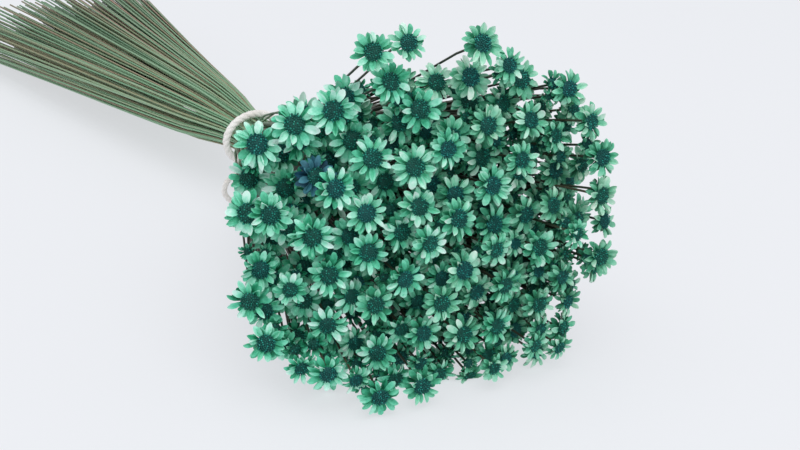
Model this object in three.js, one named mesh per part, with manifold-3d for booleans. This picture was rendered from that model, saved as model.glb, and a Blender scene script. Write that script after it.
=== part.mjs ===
// A tied bunch of dried glixia (star flowers) lying on a surface, in millimetres, +Z up.
// The heads point along -Y and rise a little, the cut stem ends lie at +Y, and a soft cord ties
// the waist between them. Every flower is one head on its own wiry stem. Stems that touch at the
// waist are fused there into a group, which is one solid.
import * as THREE from 'three';
import { mergeVertices } from 'three/addons/utils/BufferGeometryUtils.js';
import Module from 'manifold-3d';

const wasm = await Module();
wasm.setup();

// How the bunch lies
const WAIST_HEIGHT = 32; // centre of the tied waist above the surface
const HEADS_RISE = THREE.MathUtils.degToRad(7.5); // the heads' axis climbs from the waist
const HEADS_TURN = THREE.MathUtils.degToRad(3); // and leans toward -X
const TAIL_LENGTH = 255; // waist to the cut ends
const TAIL_HALF_WIDTH = 56; // the cut ends fan out this far each side
const TAIL_HALF_HEIGHT = 16;
const TAIL_MIDDLE = new THREE.Vector3(-8, TAIL_LENGTH, 14.6);
const TAIL_UNEVEN = 18; // the ends aren't cut level

// The fan of heads, seen from the point behind the waist where all the stems would meet
const MEET_BEHIND = 32; // distance of that point behind the waist
const FAN_SIDE = 0.325; // slope of the outermost stems to either side
const FAN_UP = 0.285; // and of those above and below
const FAN_SQUARENESS = 2.5; // 2 is an ellipse, more is a rounded box
const REACH = 203; // meeting point to the middle heads
const REACH_GAIN_RIGHT = 14; // heads at +X stand further out, those at -X nearer
const REACH_FALL_RIM = 7; // the rim lies this much back from the middle

// The heads
const HEAD_TRIES = 30000; // places tried one after another
const HEAD_DIAMETER = 12.6;
const HEAD_DIAMETER_SPREAD = 1.6;
const HEAD_DIAMETER_GAIN_LEFT = 0.93; // heads toward -X are larger, and so are those at the top
const HEAD_SHRINK = 0.24; // the last ones tried are smaller by this share
const LAYER_STEP = 6.5; // the heads stand in layers, one behind another
const LAYERS = 4;
const LAYER_UNEVEN = 2.2;
const LAYER_REACH = 5.6; // two heads closer in depth than this must lie side by side
const SIDE_OVERLAP = 0.9; // petals of neighbours may reach past each other by this much
const PETALS = 5; // low and high by turns, in two layers
const DISC_SHARE = 0.5; // the floret disc's share of the head's diameter
const PETAL_NOTCH_SHARE = 0.56; // radius where two petals part
const PETAL_LEAST = 1.12; // shortest petal, as a share of that radius
const PETAL_STEP = 0.05; // a petal in the way of something is shortened in these steps
const DISC_RISE = 1.1; // edge of the disc above the petals
const DISC_DOME = 0.6; // its middle above its edge
const PETAL_LIFT_HIGH = 1.3;
const PETAL_LIFT_LOW = -0.2;
const HEAD_CUP = 2.8; // depth of the cup under the petals
const NOD = 0.16; // most that a head faces away from its stem, as a slope
const STEM_PASS_SHARE = 0.72; // a stem passes an inner head no nearer than this share of its radius
const NEAR_HEADS = 60; // heads further apart than this can't meet
const CLEARANCE = 0.35; // between parts that belong to different groups
const PETAL_STEM_CLEARANCE = 0.5; // from a petal to a stem that passes it
const PETAL_CLEARANCE = 0.275; // from a petal to the border halfway to its neighbour
const LEAST_DETAIL = 0.03; // slivers thinner than this are smoothed away
const SAME_POINT = 1e-4; // corners closer than this are one
// Flowers that stand out, placed first: slope to the side, slope up, reach and diameter
const LEADERS = [
  [-0.28, 0.21, 186, 14.6], [-0.21, 0.235, 190, 14.4], [-0.145, 0.25, 195, 14.2],
  [-0.27, 0.085, 190, 13.6], [-0.205, 0.045, 196, 13.8], [-0.16, 0.12, 197, 13.2],
  [-0.09, 0.33, 212, 12.6], [-0.035, 0.335, 214, 11.8], [-0.06, 0.28, 206, 12.8],
  [0.08, 0.315, 217, 13], [0.135, 0.275, 213, 10.6], [0.25, -0.05, 221, 12.4],
  [-0.12, -0.23, 209, 12.8], [-0.2, -0.19, 203, 12.6], [0.25, 0.05, 222, 12.2],
  [0.258, 0.108, 222, 12], [0.252, 0.166, 220, 11.8], [0.235, 0.222, 216, 11.6],
  [-0.322, -0.065, 192, 13.2], [-0.3, -0.14, 196, 13], [-0.047, -0.225, 209, 12.4],
];

// The stems
const STEM_RADIUS = 0.5;
const GROUPS = 44; // groups of stems, each fused at the waist
const GROUPING_ROUNDS = 12; // times that the heads are shared out anew among the groups
const ROD_RADIUS = 0.9; // a group's stems where they're pressed together
const ROD_HALF_LENGTH = 5; // straight stretch through the waist
const ROD_SIDES = 5;
const ROD_SPACING = 2.15; // least distance between two groups at the waist
const PUSH_ROUNDS = 300; // times that groups closer than that are pushed apart
const PUSH = 0.2; // each by this share of what they lack
const PART_AHEAD = 42; // a group's stems part this far from the waist, toward the heads
const PART_BEHIND = 50; // and this far toward the cut ends
const STEM_SINK = 4; // they start this far inside their rod
const STEM_SPREAD = 0.62; // and this far off its middle, each to its own side

// The tie
const TIE_CORD = 3.2;
const TIE_SIDE = 12.6; // half-axes of the ring that the cord makes round the waist
const TIE_UP = 10.8;
const TIE_STEPS = 26;
const CORD_SIDES = 6;
const KNOT_RADIUS = 3;
const KNOT_FORWARD = -1; // toward the heads
const KNOT_DROP = 2; // below the ring's middle line
const LOOP_CORD = 2.4;
// Loose loop under the knot, as points from the waist's centre
const LOOP_ROUTE = [
  [0.6, -1.2, -12.5], [2.4, -3, -17.4], [-0.2, -4, -22.8], [-6, -4, -26.2], [-12.2, -3.2, -25.6],
  [-15.6, -2.4, -21.2], [-13.6, -1.6, -16.4], [-8, -1, -14], [-2.2, -0.8, -13],
];
const LOOP_STEPS = 18;

const SEED = 41;
const HEAD_GREENS = [0x3f9c83, 0x4fae90, 0x2f8a72];
const CORD_CREAM = 0xece4de;

// Repeatable draw of numbers between 0 and 1
function seededDraw(seed) {
  let state = seed;
  return () => {
    state = (state * 16807) % 2147483647;
    return state / 2147483647;
  };
}

// Directions of the heads' fan: along its axis, to the side and up
const headsAxis = new THREE.Vector3(
  -Math.sin(HEADS_TURN) * Math.cos(HEADS_RISE),
  -Math.cos(HEADS_TURN) * Math.cos(HEADS_RISE),
  Math.sin(HEADS_RISE),
);
const fanSide = new THREE.Vector3(Math.cos(HEADS_TURN), -Math.sin(HEADS_TURN), 0);
const fanUp = new THREE.Vector3().crossVectors(headsAxis, fanSide);
const across = new THREE.Vector3(1, 0, 0);
const backward = new THREE.Vector3(0, 1, 0);
const upward = new THREE.Vector3(0, 0, 1);
const waist = new THREE.Vector3(0, 0, WAIST_HEIGHT);
const meetingPoint = waist.clone().addScaledVector(headsAxis, -MEET_BEHIND);

// Slope of the outermost stems in the direction of an angle round the axis
function fanSlope(angle) {
  const side = Math.abs(Math.cos(angle) / FAN_SIDE) ** FAN_SQUARENESS;
  const up = Math.abs(Math.sin(angle) / FAN_UP) ** FAN_SQUARENESS;
  return (side + up) ** (-1 / FAN_SQUARENESS);
}

function headDirection(side, up) {
  return headsAxis.clone().addScaledVector(fanSide, side).addScaledVector(fanUp, up).normalize();
}

// Heads are dropped one by one at random places in the fan. One stays where it clears the rest:
// heads at the same depth lie side by side, and the stem of an outer one passes an inner one.
function placeHeads() {
  const draw = seededDraw(SEED);
  const heads = LEADERS.map(([side, up, reach, diameter]) => (
    { side, up, reach, radius: diameter / 2, direction: headDirection(side, up) }));
  for (let tried = 0; tried < HEAD_TRIES; tried++) {
    const angle = 2 * Math.PI * draw();
    const share = Math.sqrt(draw());
    const slope = share * fanSlope(angle);
    const side = slope * Math.cos(angle);
    const up = slope * Math.sin(angle);
    const layer = Math.floor(LAYERS * draw());
    const uneven = LAYER_UNEVEN * (draw() - 0.5);
    const gain = HEAD_DIAMETER_GAIN_LEFT * (up / FAN_UP - side / FAN_SIDE);
    const spread = HEAD_DIAMETER_SPREAD * (draw() - 0.5);
    const shrink = 1 - HEAD_SHRINK * tried / HEAD_TRIES;
    const radius = (HEAD_DIAMETER + gain + spread) * shrink / 2;
    const reach = REACH + REACH_GAIN_RIGHT * side / FAN_SIDE - REACH_FALL_RIM * share ** 2
      - LAYER_STEP * layer + uneven;
    const direction = headDirection(side, up);
    const clear = heads.every((other) => {
      const inner = reach < other.reach ? radius : other.radius;
      const apart = direction.distanceTo(other.direction) * Math.min(reach, other.reach);
      const level = Math.abs(reach - other.reach) < LAYER_REACH;
      const alongside = STEM_PASS_SHARE * inner + STEM_RADIUS + CLEARANCE;
      return apart > (level ? radius + other.radius - SIDE_OVERLAP : alongside);
    });
    if (clear) heads.push({ side, up, reach, radius, direction });
  }
  return heads;
}

// Neighbouring heads are gathered into groups, each round its own middle in the fan
function groupHeads(heads) {
  const middles = heads.slice(0, GROUPS).map(({ side, up }) => ({ side, up }));
  for (let round = 0; round < GROUPING_ROUNDS; round++) {
    for (const head of heads) {
      const distances = middles.map((middle) => Math.hypot(head.side - middle.side, head.up - middle.up));
      head.group = distances.indexOf(Math.min(...distances));
    }
    middles.forEach((middle, group) => {
      const members = heads.filter((head) => head.group === group);
      middle.side = members.reduce((sum, head) => sum + head.side, 0) / members.length;
      middle.up = members.reduce((sum, head) => sum + head.up, 0) / members.length;
    });
  }
  return middles;
}

// The groups' rods stand side by side at the waist, pushed apart where they'd be too close
function placeRods(middles) {
  const limitX = TIE_SIDE - TIE_CORD / 2 - ROD_RADIUS - CLEARANCE;
  const limitY = TIE_UP - TIE_CORD / 2 - ROD_RADIUS - CLEARANCE;
  const furthest = Math.max(...middles.map(({ side, up }) => Math.hypot(side / limitX, up / limitY)));
  const rods = middles.map(({ side, up }) => ({ x: side / furthest, y: up / furthest }));
  for (let round = 0; round < PUSH_ROUNDS; round++) {
    for (const rod of rods) {
      for (const other of rods) {
        const distance = Math.hypot(other.x - rod.x, other.y - rod.y);
        if (other === rod || distance >= ROD_SPACING) continue;
        const push = PUSH * (ROD_SPACING - distance) / distance;
        const [pushX, pushY] = [(other.x - rod.x) * push, (other.y - rod.y) * push];
        rod.x -= pushX;
        rod.y -= pushY;
        other.x += pushX;
        other.y += pushY;
      }
      const outside = Math.hypot(rod.x / limitX, rod.y / limitY);
      if (outside > 1) {
        rod.x /= outside;
        rod.y /= outside;
      }
    }
  }
  return rods;
}

// Solids
function solidOf(points, triangles) {
  return new wasm.Manifold(new wasm.Mesh({
    numProp: 3,
    vertProperties: new Float32Array(points.flatMap((point) => point.toArray())),
    triVerts: new Uint32Array(triangles.flat()),
  }));
}

function solidOfGeometry(geometry) {
  geometry.deleteAttribute('normal');
  geometry.deleteAttribute('uv');
  const merged = mergeVertices(geometry, SAME_POINT);
  return new wasm.Manifold(new wasm.Mesh({
    numProp: 3,
    vertProperties: new Float32Array(merged.attributes.position.array),
    triVerts: new Uint32Array(merged.index.array),
  }));
}

function geometryOf(solid) {
  const { vertProperties, triVerts } = solid.getMesh();
  const geometry = new THREE.BufferGeometry();
  geometry.setAttribute('position', new THREE.BufferAttribute(vertProperties, 3));
  geometry.setIndex(new THREE.BufferAttribute(triVerts, 1));
  geometry.computeVertexNormals();
  return geometry;
}

// Two directions at right angles to an axis
function acrossAxis(axis) {
  const first = new THREE.Vector3(0, 0, 1).cross(axis).normalize();
  return [first, new THREE.Vector3().crossVectors(axis, first)];
}

// A corner of a regular ring round a centre, in the plane of two directions
function ringPoint(centre, first, second, radius, angle) {
  return centre.clone().addScaledVector(first, radius * Math.cos(angle))
    .addScaledVector(second, radius * Math.sin(angle));
}

// A rod through a row of centres, its rings all square to Y
function rodSolid(centres, radius, sides) {
  const points = centres.flatMap((centre) => Array.from({ length: sides }, (_, corner) => (
    ringPoint(centre, across, upward, radius, 2 * Math.PI * corner / sides))));
  const triangles = [];
  for (let ring = 0; ring < centres.length - 1; ring++) {
    for (let corner = 0; corner < sides; corner++) {
      const here = ring * sides + corner;
      const next = ring * sides + (corner + 1) % sides;
      triangles.push([here, next + sides, next], [here, here + sides, next + sides]);
    }
  }
  const last = (centres.length - 1) * sides;
  for (let corner = 1; corner < sides - 1; corner++) {
    triangles.push([0, corner, corner + 1], [last, last + corner + 1, last + corner]);
  }
  return solidOf(points, triangles);
}

// Where a head sits, which way it faces, and the two directions in its petals' plane
function poseHead(head, draw) {
  head.place = meetingPoint.clone().addScaledVector(head.direction, head.reach);
  const [first, second] = acrossAxis(head.direction);
  head.facing = head.direction.clone().addScaledVector(first, NOD * (2 * draw() - 1))
    .addScaledVector(second, NOD * (2 * draw() - 1)).normalize();
  [head.first, head.second] = acrossAxis(head.facing);
  head.turn = 2 * Math.PI * draw();
}

// Distance from a point to a triangle in a plane, zero inside
function distanceToTriangle(point, corners) {
  let inside = true;
  let nearest = Infinity;
  corners.forEach((corner, index) => {
    const edge = corners[(index + 1) % 3].clone().sub(corner);
    const toPoint = point.clone().sub(corner);
    if (edge.cross(toPoint) < 0) inside = false;
    const along = THREE.MathUtils.clamp(toPoint.dot(edge) / edge.lengthSq(), 0, 1);
    nearest = Math.min(nearest, toPoint.distanceTo(edge.multiplyScalar(along)));
  });
  return inside ? 0 : nearest;
}

// Length of each petal: one that would meet a neighbour or its stem is curled up shorter
function petalReaches(head, heads) {
  const inPlane = (point) => {
    const offset = point.clone().sub(head.place);
    return new THREE.Vector2(offset.dot(head.first), offset.dot(head.second));
  };
  const others = heads.filter((other) => other !== head
    && other.place.distanceTo(head.place) < NEAR_HEADS);
  const stems = others.filter((other) => other.reach > head.reach).map((other) => {
    const along = other.place.clone().sub(other.root);
    const share = head.place.clone().sub(other.root).dot(head.facing) / along.dot(head.facing);
    return inPlane(other.root.clone().addScaledVector(along, share));
  });
  const neighbours = others.filter((other) => Math.abs(other.reach - head.reach) < LAYER_REACH + 1)
    .map((other) => ({ place: inPlane(other.place), radius: other.radius }));
  const notch = PETAL_NOTCH_SHARE * head.radius;
  return Array.from({ length: PETALS }, (_, petal) => {
    const angle = head.turn + 2 * Math.PI * (petal + 0.5) / PETALS;
    const direction = new THREE.Vector2(Math.cos(angle), Math.sin(angle));
    const corner = (side) => new THREE.Vector2(notch, 0)
      .rotateAround(new THREE.Vector2(), angle + side * Math.PI / PETALS);
    for (let reach = head.radius; reach > PETAL_LEAST * notch; reach -= PETAL_STEP * head.radius) {
      const tip = direction.clone().multiplyScalar(reach);
      const triangle = [corner(-1), tip, corner(1)];
      const clearOfStems = stems.every((stem) => (
        distanceToTriangle(stem, triangle) > STEM_RADIUS + PETAL_STEM_CLEARANCE));
      const clearOfHeads = neighbours.every(({ place, radius }) => {
        const distance = place.length();
        const border = distance * head.radius / (head.radius + radius) - PETAL_CLEARANCE;
        return tip.dot(place) / distance < border;
      });
      if (clearOfStems && clearOfHeads) return reach;
    }
    return PETAL_LEAST * notch;
  });
}

// A flower: a raised disc of florets, a ring of pointed petals, high and low by turns, and a cup
// that narrows to the three-sided stem
function flowerSolid(head) {
  const { first, second, facing, turn } = head;
  const at = (radius, angle, rise) => (
    ringPoint(head.place, first, second, radius, angle).addScaledVector(facing, rise));
  const points = [];
  const notch = PETAL_NOTCH_SHARE * head.radius;
  for (let petal = 0; petal < PETALS; petal++) {
    const angle = turn + 2 * Math.PI * petal / PETALS;
    const reach = head.petalReaches[petal];
    const share = (reach - notch) / (head.radius - notch);
    const lift = share * (petal % 2 ? PETAL_LIFT_HIGH : PETAL_LIFT_LOW);
    points.push(
      at(notch, angle, 0),
      at(reach, angle + Math.PI / PETALS, lift),
      at(DISC_SHARE * head.radius, angle, DISC_RISE),
    );
  }
  const dome = points.push(at(0, 0, DISC_RISE + DISC_DOME)) - 1;
  const neck = points.length;
  for (const centre of [at(0, 0, -HEAD_CUP), head.root]) {
    for (let side = 0; side < 3; side++) {
      points.push(ringPoint(centre, first, second, STEM_RADIUS, turn + 2 * Math.PI * (side + 0.5) / 3));
    }
  }
  const triangles = [];
  const rim = (step) => 3 * Math.floor(step / 2 % PETALS) + step % 2;
  const neckOf = (step) => neck + Math.floor(step * 3 / (2 * PETALS)) % 3;
  for (let step = 0; step < 2 * PETALS; step++) {
    triangles.push([neckOf(step), rim(step + 1), rim(step)]);
    if (neckOf(step + 1) !== neckOf(step)) {
      triangles.push([neckOf(step), neckOf(step + 1), rim(step + 1)]);
    }
  }
  for (let petal = 0; petal < PETALS; petal++) {
    const [corner, tip, edge] = [3 * petal, 3 * petal + 1, 3 * petal + 2];
    const next = 3 * ((petal + 1) % PETALS);
    triangles.push([dome, edge, next + 2], [corner, tip, next]);
    triangles.push([edge, corner, next], [edge, next, next + 2]);
  }
  for (let side = 0; side < 3; side++) {
    const [here, next] = [neck + side, neck + (side + 1) % 3];
    triangles.push([here, here + 3, next + 3], [here, next + 3, next]);
  }
  triangles.push([neck + 3, neck + 5, neck + 4]);
  return solidOf(points, triangles);
}

// A place in the tail, spread there as the heads are in their fan
function tailPlace({ side, up }) {
  return TAIL_MIDDLE.clone().addScaledVector(across, side / FAN_SIDE * TAIL_HALF_WIDTH)
    .addScaledVector(upward, up / FAN_UP * TAIL_HALF_HEIGHT);
}

// The row of centres that a group's rod runs through: it is straight at the waist, and its ends
// lie where the group's stems part
function rodRoute(middle, rod) {
  const centre = waist.clone().addScaledVector(across, rod.x).addScaledVector(upward, rod.y);
  const front = meetingPoint.clone()
    .addScaledVector(headDirection(middle.side, middle.up), MEET_BEHIND + PART_AHEAD);
  const free = waist.clone().addScaledVector(across, middle.side * MEET_BEHIND)
    .addScaledVector(upward, middle.up * MEET_BEHIND);
  return [
    front,
    centre.clone().addScaledVector(backward, -ROD_HALF_LENGTH),
    centre.clone().addScaledVector(backward, ROD_HALF_LENGTH),
    free.lerp(tailPlace(middle), PART_BEHIND / TAIL_LENGTH),
  ];
}

// One group: its rod, its flowers and the lower stretches of their stems, cut off at the surface
function groupSolid(members, route) {
  let solid = rodSolid(route, ROD_RADIUS, ROD_SIDES);
  for (const head of members) {
    solid = solid.add(flowerSolid(head)).add(rodSolid([head.tailRoot, head.end], STEM_RADIUS, 3));
  }
  return solid.subtract(belowSurface).simplify(LEAST_DETAIL);
}

// A cord along a curve, its section a regular polygon
function cordSolid(curve, diameter, steps, sides, closed) {
  const { normals, binormals } = curve.computeFrenetFrames(steps, closed);
  const rings = closed ? steps : steps + 1;
  const points = Array.from({ length: rings * sides }, (_, index) => {
    const [ring, corner] = [Math.floor(index / sides), index % sides];
    const centre = curve.getPointAt(ring / steps);
    return ringPoint(centre, normals[ring], binormals[ring], diameter / 2, 2 * Math.PI * corner / sides);
  });
  const triangles = [];
  for (let ring = 0; ring < steps; ring++) {
    for (let corner = 0; corner < sides; corner++) {
      const [here, next] = [ring * sides + corner, ring * sides + (corner + 1) % sides];
      const [hereOn, nextOn] = [(here + sides) % points.length, (next + sides) % points.length];
      triangles.push([here, next, nextOn], [here, nextOn, hereOn]);
    }
  }
  const last = (rings - 1) * sides;
  for (let corner = 1; corner < sides - 1 && !closed; corner++) {
    triangles.push([0, corner + 1, corner], [last, last + corner, last + corner + 1]);
  }
  return solidOf(points, triangles);
}

// The tie: one ring of soft cord round the waist, a knot under it and a loose loop at the knot
function tieSolid() {
  const ringPoints = Array.from({ length: TIE_STEPS }, (_, step) => {
    const angle = 2 * Math.PI * step / TIE_STEPS;
    return waist.clone().addScaledVector(across, TIE_SIDE * Math.cos(angle))
      .addScaledVector(upward, TIE_UP * Math.sin(angle));
  });
  const ring = new THREE.CatmullRomCurve3(ringPoints, true);
  const loop = new THREE.CatmullRomCurve3(
    LOOP_ROUTE.map(([x, y, z]) => waist.clone().add(new THREE.Vector3(x, y, z))),
  );
  const knot = new THREE.IcosahedronGeometry(KNOT_RADIUS, 1)
    .translate(0, KNOT_FORWARD, WAIST_HEIGHT - TIE_UP - KNOT_DROP);
  return cordSolid(ring, TIE_CORD, TIE_STEPS, CORD_SIDES, true).add(solidOfGeometry(knot))
    .add(cordSolid(loop, LOOP_CORD, LOOP_STEPS, CORD_SIDES, false));
}

// Everything below the surface that the bunch lies on
const belowSurface = solidOfGeometry(new THREE.BoxGeometry(600, 1200, 100).translate(0, 0, -50));

// The heads, their groups, and where each stem starts and ends
const heads = placeHeads();
const middles = groupHeads(heads);
const rods = placeRods(middles);
const routes = middles.map((middle, group) => rodRoute(middle, rods[group]));
const draw = seededDraw(SEED + 1);
for (const head of heads) {
  const [front, waistFront, waistBack, behind] = routes[head.group];
  const middle = middles[head.group];
  const side = new THREE.Vector2(head.side - middle.side, head.up - middle.up).normalize();
  const sunk = (end, from) => end.clone().addScaledVector(end.clone().sub(from).normalize(), -STEM_SINK);
  head.root = sunk(front, waistFront)
    .addScaledVector(across, STEM_SPREAD * side.x).addScaledVector(upward, STEM_SPREAD * side.y);
  head.tailRoot = sunk(behind, waistBack);
  const end = tailPlace(head);
  const along = end.clone().sub(head.tailRoot).normalize();
  head.end = end.addScaledVector(along, TAIL_UNEVEN * (draw() - 0.5));
  poseHead(head, draw);
}
for (const head of heads) head.petalReaches = petalReaches(head, heads);

const bunch = new THREE.Group();

function addPart(name, solid, color) {
  const mesh = new THREE.Mesh(geometryOf(solid), new THREE.MeshStandardMaterial({ color, roughness: 0.8 }));
  mesh.name = name;
  bunch.add(mesh);
}

middles.forEach((_, group) => {
  const members = heads.filter((head) => head.group === group);
  const name = `flower_stems_${String(group + 1).padStart(2, '0')}`;
  addPart(name, groupSolid(members, routes[group]), HEAD_GREENS[group % HEAD_GREENS.length]);
});
addPart('tie_cord', tieSolid(), CORD_CREAM);

// The bunch is moved sideways so that its origin is under the middle of its box
const boxMiddle = new THREE.Box3().setFromObject(bunch).getCenter(new THREE.Vector3());
bunch.position.set(-boxMiddle.x, -boxMiddle.y, 0);

export default bunch;
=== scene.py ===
"""A tied bunch of dried, dyed glixia flowers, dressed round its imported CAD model."""
import math

import bpy
import numpy as np
from mathutils import Matrix, Vector


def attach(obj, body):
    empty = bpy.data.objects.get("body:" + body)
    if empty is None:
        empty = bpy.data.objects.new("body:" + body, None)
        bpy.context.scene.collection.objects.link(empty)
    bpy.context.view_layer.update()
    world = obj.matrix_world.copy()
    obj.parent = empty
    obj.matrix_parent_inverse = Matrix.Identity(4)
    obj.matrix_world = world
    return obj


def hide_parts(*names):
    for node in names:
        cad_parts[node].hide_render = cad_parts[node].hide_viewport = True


bl_info = {
    "name": "Dried Glixia Bunch",
    "version": (1, 0, 0),
    "blender": (4, 5, 0),
    "location": "View3D > Sidebar > Glixia",
    "description": "Makes a tied bunch of dried glixia flowers on their wiry stems",
    "category": "Add Mesh",
}

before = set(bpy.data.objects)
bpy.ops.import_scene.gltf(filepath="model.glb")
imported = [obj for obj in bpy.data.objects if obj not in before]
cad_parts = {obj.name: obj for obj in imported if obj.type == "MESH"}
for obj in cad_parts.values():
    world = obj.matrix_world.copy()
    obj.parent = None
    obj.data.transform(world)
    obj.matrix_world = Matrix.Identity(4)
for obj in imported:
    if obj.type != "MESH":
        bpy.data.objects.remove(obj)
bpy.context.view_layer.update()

MM = 0.001

# The bunch follows the same rule and the same named values as its CAD model, in millimetres.
# How it lies
BUNCH_SHIFT = Vector((5.7719, -38.8386, 0))  # from the waist to the middle of its box
WAIST_HEIGHT = 32
HEADS_RISE = math.radians(7.5)
HEADS_TURN = math.radians(3)
TAIL_LENGTH = 255
TAIL_HALF_WIDTH = 56
TAIL_HALF_HEIGHT = 16
TAIL_MIDDLE = Vector((-8, TAIL_LENGTH, 14.6))
TAIL_UNEVEN = 18
# The fan of heads
MEET_BEHIND = 32
FAN_SIDE = 0.325
FAN_UP = 0.285
FAN_SQUARENESS = 2.5
REACH = 203
REACH_GAIN_RIGHT = 14
REACH_FALL_RIM = 7
# The heads
HEAD_TRIES = 30000
HEAD_DIAMETER = 12.6
HEAD_DIAMETER_SPREAD = 1.6
HEAD_DIAMETER_GAIN_LEFT = 0.93
HEAD_SHRINK = 0.24
LAYER_STEP = 6.5
LAYERS = 4
LAYER_UNEVEN = 2.2
LAYER_REACH = 5.6
SIDE_OVERLAP = 0.9
STEM_PASS_SHARE = 0.72
CLEARANCE = 0.35
NOD = 0.16
# Flowers that stand out: slope to the side, slope up, reach and diameter
LEADERS = (
    (-0.28, 0.21, 186, 14.6), (-0.21, 0.235, 190, 14.4), (-0.145, 0.25, 195, 14.2),
    (-0.27, 0.085, 190, 13.6), (-0.205, 0.045, 196, 13.8), (-0.16, 0.12, 197, 13.2),
    (-0.09, 0.33, 212, 12.6), (-0.035, 0.335, 214, 11.8), (-0.06, 0.28, 206, 12.8),
    (0.08, 0.315, 217, 13), (0.135, 0.275, 213, 10.6), (0.25, -0.05, 221, 12.4),
    (-0.12, -0.23, 209, 12.8), (-0.2, -0.19, 203, 12.6), (0.25, 0.05, 222, 12.2),
    (0.258, 0.108, 222, 12), (0.252, 0.166, 220, 11.8), (0.235, 0.222, 216, 11.6),
    (-0.322, -0.065, 192, 13.2), (-0.3, -0.14, 196, 13), (-0.047, -0.225, 209, 12.4),
)
# The groups of stems, and the rods that they are pressed into at the waist
GROUPS = 44
GROUPING_ROUNDS = 12
ROD_RADIUS = 0.9
ROD_HALF_LENGTH = 5
ROD_SPACING = 2.15
PUSH_ROUNDS = 300
PUSH = 0.2
PART_AHEAD = 42
PART_BEHIND = 50
STEM_RADIUS = 0.5
STEM_SPREAD = 0.62
# The tie
TIE_CORD = 3.2
TIE_SIDE = 12.6
TIE_UP = 10.8
LOOP_CORD = 2.4
LOOP_ROUTE = (
    (0.6, -1.2, -12.5), (2.4, -3, -17.4), (-0.2, -4, -22.8), (-6, -4, -26.2), (-12.2, -3.2, -25.6),
    (-15.6, -2.4, -21.2), (-13.6, -1.6, -16.4), (-8, -1, -14), (-2.2, -0.8, -13),
)
SEED = 41

# From here on, what the CAD model doesn't have.
# Small open flowers that close the gaps in the rim, given as those that stand out are
RIM_FLOWERS = (
    (-0.241, -0.194, 197, 10.4), (-0.151, -0.215, 202, 9.8), (0.084, -0.224, 210, 9.8),
    (0.155, -0.195, 213, 9.6), (0.119, -0.226, 207, 9.4), (0.208, -0.004, 219, 10),
    (0.212, -0.219, 213, 9.4),
)
# Half-open young flowers that stay short in the gaps between the open ones
YOUNG_TRIES = 6400
YOUNG_DEPTH, YOUNG_DEPTH_SPREAD = 3, 20  # behind the nearest open head
YOUNG_DIAMETER, YOUNG_DIAMETER_SPREAD = 6.4, 3.6
GAP_TO_OPEN = 0.5  # to an open head's axis, as a share of its radius
GAP_TO_YOUNG = 0.47  # to another young one's axis, as a share of both radii
GAP_FALL_RIGHT = 0.48  # toward +X they stand closer by this share
YOUNG_CLOSING = 0.36  # radians by which their bracts stand up more
YOUNG_BUDS_SHARE = 4  # they show one in this many of the floret buds
FEWER_YOUNG_BRACTS = 2
# The stems' free stretches
STEM_TOP = 0.42  # share of the head's radius from its middle to the stem's top
NECK_BELOW = 7  # the stem leaves its head square to it
NECK_BACK = 4
BOW = 45  # the uppermost stems sag by this much for each unit of slope past BOW_FROM
BOW_FROM = 0.2
BOW_AT_PARTING = 0.7
PARTING_SPREAD = 0.9  # off the group's middle where the stems part
TOWARD_HEAD, TOWARD_WAIST, HALFWAY = 0.45, 0.55, 0.5
LYING = 1.5  # what lies lower than this is pressed flat against the surface
# Painted shade near the heads, where the stems run inside the fan, and drier, browner straw toward the cut
# end, at each of a stem's points from its head to its cut end
SHADE_AND_DRYNESS = (1, 1, 0.9, 0.6, 0.3, 0, 0, 0, 0, 0.12, 0.2)
# Browner dye: the least, the most more by chance, and the most more toward the cut end
TINT, TINT_SPREAD, TINT_RISE = 0.05, 0.65, 0.3
# Paler bracts: at the least, more by chance, and more toward the upper left as painted light; young ones,
# deep in the gaps, are darker as painted shade
TONE, TONE_SPREAD, TONE_RISE_PAINTED_LIGHT, YOUNG_PAINTED_SHADE = 0.09, 0.16, 0.07, 0.22
# Share of straw colour in the bracts: in the middle, more to the right, and by chance
FADE, FADE_RISE, FADE_SPREAD = 0.25, 0.45, 0.5
# Share of blue in the florets: by chance, and none below a limit
INK_SPREAD, INK_LIMIT = 1.4, 0.5
# Slopes to the one flower that took inky dye, and how near them it is
INKY_PLACE, INKY_NEAR = (-0.184, 0.14), 0.01
GROUPS_PER_PIECE = 4
SEED_STEP, YOUNG_SEED = 31, 500

# The camera's place, from the waist, and where the waist shows in the picture
CAMERA_AZIMUTH = math.radians(-23)
CAMERA_ELEVATION = math.radians(21.5)
CAMERA_DISTANCE = 0.63
CAMERA_FOCAL_PIXELS = 1480
CAMERA_SENSOR = 36
CAMERA_TURNS = 50
PICTURE = (800, 450)
WAIST_PIXEL = (254, 138)
# The stage, in metres: half the floor's side, and each light's name, place, size and watts
FLOOR_HALF_SIDE = 12
LIGHTS = (("softbox", (-0.25, -1.25, 1.4), 1.4, 11.5), ("ceiling", (-0.35, -0.1, 1.8), 1.8, 9.6))
LIT_PLACE = Vector((0, -0.1, 0.05))
ROOM_COLOUR, ROOM_STRENGTH = "f2f4f8", 0.6

HEADS_AXIS = Vector((
    -math.sin(HEADS_TURN) * math.cos(HEADS_RISE),
    -math.cos(HEADS_TURN) * math.cos(HEADS_RISE),
    math.sin(HEADS_RISE),
))
FAN_ACROSS = Vector((math.cos(HEADS_TURN), -math.sin(HEADS_TURN), 0))
FAN_UPWARD = HEADS_AXIS.cross(FAN_ACROSS)
WAIST = Vector((0, 0, WAIST_HEIGHT))
MEETING_POINT = WAIST - HEADS_AXIS * MEET_BEHIND


def seeded_draw(seed):
    """A repeatable draw of numbers between 0 and 1."""
    multiplier, modulus = 16807, 2 ** 31 - 1
    state = seed

    def draw():
        nonlocal state
        state = state * multiplier % modulus
        return state / modulus

    return draw


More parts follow.
